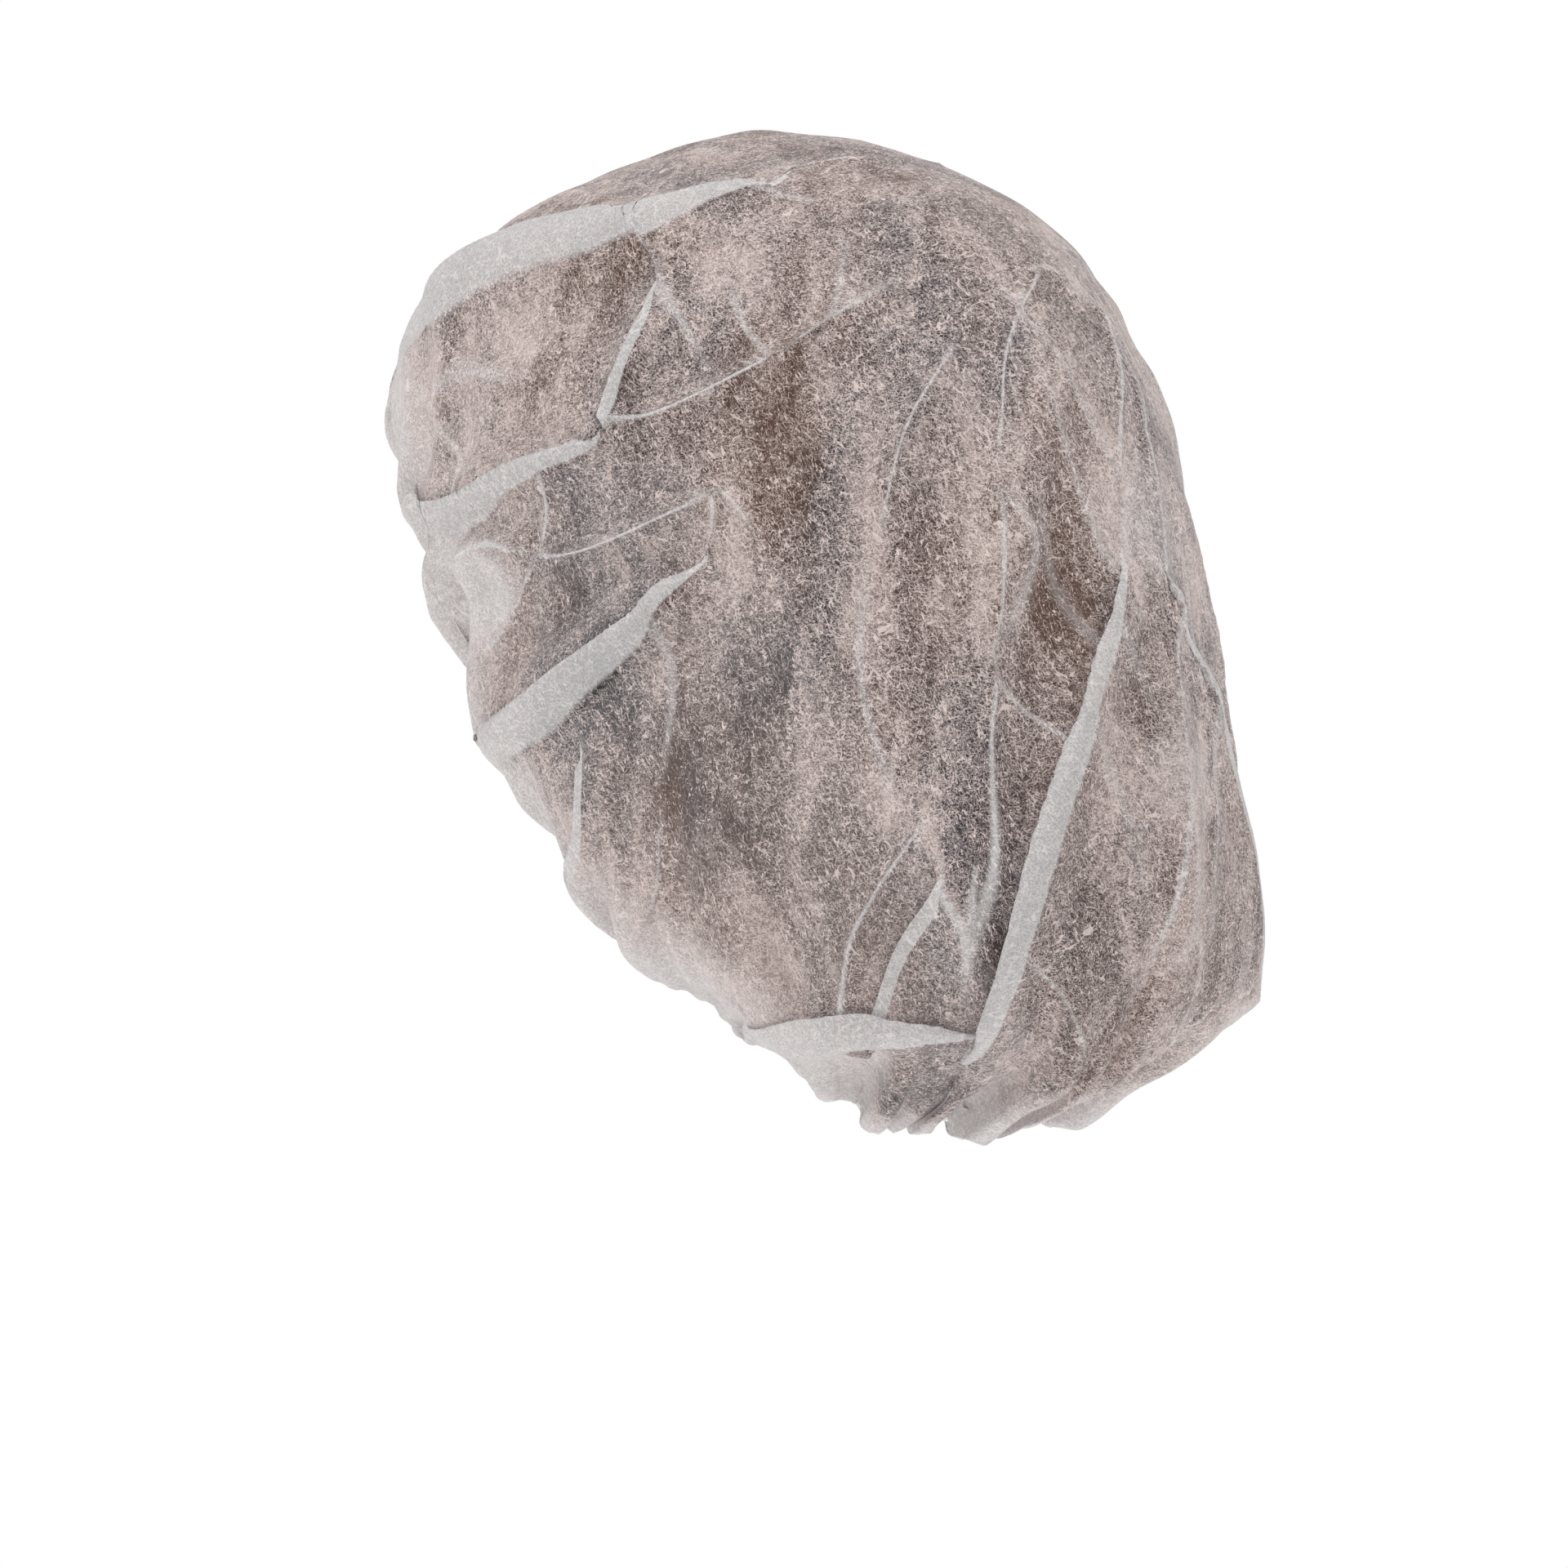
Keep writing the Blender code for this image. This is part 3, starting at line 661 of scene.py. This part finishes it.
def nonwoven():
    """White spunbond sheet: opaque curly fibres over a thinner, more see-through web, its gaps
    painted dark as painted shade seen through the sheet.
    """
    made = bpy.data.materials.new("white_nonwoven_fibres")
    made.use_nodes = True
    tree = made.node_tree
    shader = tree.nodes["Principled BSDF"]
    place = add_node(tree, "ShaderNodeTexCoord").outputs["Object"]

    # Fibres in all directions, and how unevenly the web is laid
    fibres = fibre_lines(tree, place, FIBRE_LAYERS[0])
    for layer in FIBRE_LAYERS[1:]:
        fibres = add_node(tree, "ShaderNodeMath", {
            0: fibres, 1: fibre_lines(tree, place, layer)}, operation="MAXIMUM").outputs[0]
    cloud = add_node(tree, "ShaderNodeTexNoise", {
        "Vector": place, "Scale": 380, "Detail": 2, "Roughness": 0.6}).outputs[0]
    upright = add_node(tree, "ShaderNodeMapping", {"Vector": place, "Scale": (1, 1, 0.38)})
    patches = add_node(tree, "ShaderNodeTexNoise", {
        "Vector": upright.outputs[0], "Scale": 55, "Detail": 4, "Roughness": 0.6,
        "Distortion": 0.6}).outputs[0]
    tint = add_node(tree, "ShaderNodeTexNoise", {
        "Vector": upright.outputs[0], "Scale": 34, "Detail": 2}).outputs[0]
    warmth = add_node(tree, "ShaderNodeMapRange", {
        "Value": tint, "From Min": 0.36, "From Max": 0.64})

    # What the mesh says: doubled strips, crease lines with their painted highlight, and how much
    # web there is at each place, with the patches of painted light and shade
    strip = add_node(tree, "ShaderNodeAttribute", attribute_name="strip").outputs["Fac"]
    across = add_node(tree, "ShaderNodeAttribute", attribute_name="across").outputs["Fac"]
    crest = add_node(tree, "ShaderNodeAttribute", attribute_name="crest").outputs["Fac"]
    laid_and_painted_light = add_node(tree, "ShaderNodeAttribute", attribute_name="thickness_and_painted_light").outputs["Fac"]

    # The web's density with the patches of painted light and shade, and where the sheet is doubled
    fine = add_node(tree, "ShaderNodeMapRange", {
        "Value": cloud, "From Min": 0.2, "From Max": 0.8, "To Min": -0.45, "To Max": 0.45})
    broad = add_node(tree, "ShaderNodeMapRange", {
        "Value": patches, "From Min": 0.34, "From Max": 0.66, "To Min": -0.60, "To Max": 0.78})
    mottle = add_node(tree, "ShaderNodeMath", {
        0: fine.outputs[0], 1: broad.outputs[0]}, operation="ADD")
    web_and_painted_light = add_node(tree, "ShaderNodeMath", {0: mottle.outputs[0], 1: laid_and_painted_light}, operation="ADD")
    density_and_painted_light = add_node(tree, "ShaderNodeMapRange", {"Value": web_and_painted_light.outputs[0]})
    inside = add_node(tree, "ShaderNodeMapRange", {
        "Value": strip, "From Min": -1.15, "From Max": -0.75, "To Max": 0.85},
        interpolation_type="SMOOTHSTEP")
    # Along crease crests the sheet takes the whiter doubled colours: a painted highlight.
    off = add_node(tree, "ShaderNodeMath", {0: across}, operation="ABSOLUTE")
    line = add_node(tree, "ShaderNodeMapRange", {
        "Value": off.outputs[0], "From Min": 0.05, "From Max": 0.55, "To Min": crest, "To Max": 0},
        interpolation_type="SMOOTHSTEP")
    folded = add_node(tree, "ShaderNodeMath", {
        0: inside.outputs[0], 1: line.outputs[0]}, operation="MAXIMUM")
    thick_and_painted_light = add_node(tree, "ShaderNodeMapRange", {
        "Value": laid_and_painted_light, "From Min": 0.25, "From Max": 1.0, "To Max": 0.75})
    doubled = add_node(tree, "ShaderNodeMath", {
        0: folded.outputs[0], 1: thick_and_painted_light.outputs[0]}, operation="MAXIMUM").outputs[0]

    # How opaque each place is, and how wide its fibres show: thinner ones in the thin places
    cover = add_node(tree, "ShaderNodeMath", {
        0: doubled, 1: density_and_painted_light.outputs[0]}, operation="MAXIMUM")
    thin = add_node(tree, "ShaderNodeMapRange", {
        "Value": cover.outputs[0], "To Min": 0.93, "To Max": 0.97})
    alpha = add_node(tree, "ShaderNodeMapRange", {
        "Value": fibres, "To Min": thin.outputs[0], "To Max": 1.0})
    narrowed = add_node(tree, "ShaderNodeMapRange", {
        "Value": web_and_painted_light.outputs[0], "From Min": -0.9, "To Min": 0.88, "To Max": 0.0})
    clear_fibres = add_node(tree, "ShaderNodeMapRange", {
        "Value": fibres, "From Min": narrowed.outputs[0], "From Max": 0.95})

    # Colour, surface and light that comes through. Sockets 6 and 7 are a Mix node's two colours
    # The gaps take a painted shade, near-black, warm in some places and grey in others by a noise.
    gap = add_node(tree, "ShaderNodeMix", {
        "Factor": warmth.outputs[0], 6: WARM_SHADE_SEEN_THROUGH, 7: GREY_SHADE_SEEN_THROUGH}, data_type="RGBA")
    web = add_node(tree, "ShaderNodeMix", {
        "Factor": density_and_painted_light.outputs[0], 6: gap.outputs[2], 7: WEB_COLOUR}, data_type="RGBA")
    single = add_node(tree, "ShaderNodeMix", {
        "Factor": clear_fibres.outputs[0], 6: web.outputs[2], 7: FIBRE_COLOUR},
        data_type="RGBA")
    twofold = add_node(tree, "ShaderNodeMix", {
        "Factor": fibres, 6: TWOFOLD_WEB_COLOUR, 7: TWOFOLD_FIBRE_COLOUR}, data_type="RGBA")
    colour = add_node(tree, "ShaderNodeMix", {
        "Factor": doubled, 6: single.outputs[2], 7: twofold.outputs[2]}, data_type="RGBA")
    rough = add_node(tree, "ShaderNodeMapRange", {"Value": cloud, "To Min": 0.65, "To Max": 0.95})
    bump = add_node(tree, "ShaderNodeBump", {
        "Height": fibres, "Strength": 0.5, "Distance": 0.0002})
    tree.links.new(colour.outputs[2], shader.inputs["Base Color"])
    tree.links.new(rough.outputs[0], shader.inputs["Roughness"])
    tree.links.new(bump.outputs[0], shader.inputs["Normal"])
    shader.inputs["Specular IOR Level"].default_value = 0.25
    shader.inputs["Sheen Weight"].default_value = 0.4
    glow = add_node(tree, "ShaderNodeBsdfTranslucent", {
        "Color": colour.outputs[2], "Normal": bump.outputs[0]})
    both = add_node(tree, "ShaderNodeMixShader", {
        0: 0.25, 1: shader.outputs[0], 2: glow.outputs[0]})
    clear = add_node(tree, "ShaderNodeBsdfTransparent")
    final = add_node(tree, "ShaderNodeMixShader", {
        0: alpha.outputs[0], 1: clear.outputs[0], 2: both.outputs[0]})
    tree.links.new(final.outputs[0], tree.nodes["Material Output"].inputs["Surface"])
    return made


cap, web_looks, elastic_line = cap_sheet()
crown = make_crown(cap, web_looks)
crown.data.materials.append(nonwoven())
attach(crown, "root")
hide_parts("crown")

# Elastic
# A round rubber cord, wound with white thread and joined end to end into a closed ring. It lies
# loose in the fold of the hem, and all the ruffles hang on it.
ELASTIC_DIAMETER = 0.0020
ELASTIC_SIDES = 12
COLUMNS_PER_STEP = 3
ROUND_RING_RADIUS = 0.09

course = elastic_line[::COLUMNS_PER_STEP]
forward = unit(np.roll(course, -1, axis=0) - np.roll(course, 1, axis=0))
level = unit(np.cross(forward, (0, 0, 1)))
upright = np.cross(level, forward)
bpy.ops.object.select_all(action="DESELECT")
bpy.ops.mesh.primitive_torus_add(
    major_segments=len(course), minor_segments=ELASTIC_SIDES,
    major_radius=ROUND_RING_RADIUS, minor_radius=ELASTIC_DIAMETER / 2)
elastic = bpy.context.object
elastic.name = "elastic_ring"
for index, vertex in enumerate(elastic.data.vertices):
    step, corner = divmod(index, ELASTIC_SIDES)
    angle = 2 * np.pi * corner / ELASTIC_SIDES
    offset = np.cos(angle) * level[step] + np.sin(angle) * upright[step]
    vertex.co = course[step] + ELASTIC_DIAMETER / 2 * offset
bpy.ops.object.mode_set(mode="EDIT")
bpy.ops.mesh.select_all(action="SELECT")
bpy.ops.mesh.normals_make_consistent(inside=False)
bpy.ops.object.mode_set(mode="OBJECT")
bpy.ops.object.shade_smooth()


def wound_thread():
    """White thread wound closely round the rubber, seen as fine slanted ribs."""
    made = bpy.data.materials.new("white_wound_thread")
    made.use_nodes = True
    tree = made.node_tree
    shader = tree.nodes["Principled BSDF"]
    wrap = add_node(tree, "ShaderNodeTexCoord").outputs["UV"]
    slanted = add_node(tree, "ShaderNodeMapping", {"Vector": wrap, "Scale": (900, 3, 1)})
    ribs = add_node(tree, "ShaderNodeTexWave", {
        "Vector": slanted.outputs[0], "Scale": 0.3, "Distortion": 0.6, "Detail": 1},
        bands_direction="DIAGONAL")
    # The grooves between the ribs are coloured darker than the ribs' tops.
    colour = add_node(tree, "ShaderNodeMix", {
        "Factor": ribs.outputs["Fac"], 6: (0.62, 0.61, 0.59, 1), 7: (0.86, 0.85, 0.83, 1)},
        data_type="RGBA")
    bump = add_node(tree, "ShaderNodeBump", {
        "Height": ribs.outputs["Fac"], "Strength": 0.6, "Distance": 0.0002})
    tree.links.new(colour.outputs[2], shader.inputs["Base Color"])
    tree.links.new(bump.outputs[0], shader.inputs["Normal"])
    shader.inputs["Roughness"].default_value = 0.7
    return made


elastic.data.materials.clear()
elastic.data.materials.append(wound_thread())
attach(elastic, "root")
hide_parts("elastic")

# Floor
# A plain matt white studio floor. It lies far below, because the cap is held up in the form that
# it has when worn.
FLOOR_DEPTH = 1.65
FLOOR_RADIUS = 8

bpy.ops.object.select_all(action="DESELECT")
bpy.ops.mesh.primitive_circle_add(
    vertices=96, radius=FLOOR_RADIUS, fill_type="NGON", location=(0, 0, -FLOOR_DEPTH))
floor = bpy.context.object
floor.name = "studio_floor"
matt = bpy.data.materials.new("matt_white_floor")
matt.use_nodes = True
floor_shader = matt.node_tree.nodes["Principled BSDF"]
floor_shader.inputs["Base Color"].default_value = (0.86, 0.86, 0.86, 1)
floor_shader.inputs["Roughness"].default_value = 0.9
floor_shader.inputs["Emission Color"].default_value = (1, 1, 1, 1)
floor_shader.inputs["Emission Strength"].default_value = 0.60
floor.data.materials.append(matt)

# Light
# A white surround, with a large soft box at the front of the cap, one above and one behind. Their
# powers are in watts.
SURROUND_LIGHT = 0.42
SoftBox = namedtuple("SoftBox", "name place size power")
SOFT_BOXES = (
    SoftBox("key light", (2.6, -1.2, 1.5), 1.6, 52),
    SoftBox("top light", (0.3, 0.2, 2.8), 2.0, 45),
    SoftBox("back light", (-0.8, 2.8, 0.8), 1.6, 30),
)
LIT_PLACE = Vector((0, 0, -0.12))

for box in SOFT_BOXES:
    aim = LIT_PLACE - Vector(box.place)
    bpy.ops.object.light_add(
        type="AREA", location=box.place, rotation=aim.to_track_quat("-Z", "Y").to_euler())
    lamp = bpy.context.object
    lamp.name = box.name
    lamp.data.size = box.size
    lamp.data.energy = box.power
    lamp.visible_camera = False

surround = bpy.data.worlds.new("white surround")
surround.use_nodes = True
tree = surround.node_tree
tree.nodes.clear()
seen = add_node(tree, "ShaderNodeBackground", {"Color": (1, 1, 1, 1), "Strength": 1})
lit = add_node(tree, "ShaderNodeBackground", {"Color": (1, 1, 1, 1), "Strength": SURROUND_LIGHT})
ray = add_node(tree, "ShaderNodeLightPath")
either = add_node(tree, "ShaderNodeMixShader", {
    0: ray.outputs["Is Camera Ray"], 1: lit.outputs[0], 2: seen.outputs[0]})
add_node(tree, "ShaderNodeOutputWorld", {"Surface": either.outputs[0]})
bpy.context.scene.world = surround
bpy.context.scene.view_settings.view_transform = "Standard"

# Camera
# A long lens to the left of the cap's back, a little above level with its middle. Its frame is
# 0.396 m wide at the cap.
CAMERA_AZIMUTH = 126
CAMERA_ELEVATION = 3
CAMERA_DISTANCE = 2.0
FRAME_WIDTH = 0.3959
SIDE_OFFSET = 0.0033
CENTRE_DEPTH = 0.1633
SENSOR_WIDTH = 36

azimuth, elevation = np.radians(CAMERA_AZIMUTH), np.radians(CAMERA_ELEVATION)
right = Vector((np.cos(azimuth), np.sin(azimuth), 0))
back = Vector((np.sin(azimuth) * np.cos(elevation), -np.cos(azimuth) * np.cos(elevation),
               np.sin(elevation)))
centre = right * SIDE_OFFSET - Vector((0, 0, CENTRE_DEPTH))
bpy.ops.object.camera_add(
    location=centre + back * CAMERA_DISTANCE, rotation=(np.pi / 2 - elevation, 0, azimuth))
camera = bpy.context.object
camera.data.sensor_width = SENSOR_WIDTH
camera.data.lens = SENSOR_WIDTH * CAMERA_DISTANCE / FRAME_WIDTH
bpy.context.scene.camera = camera
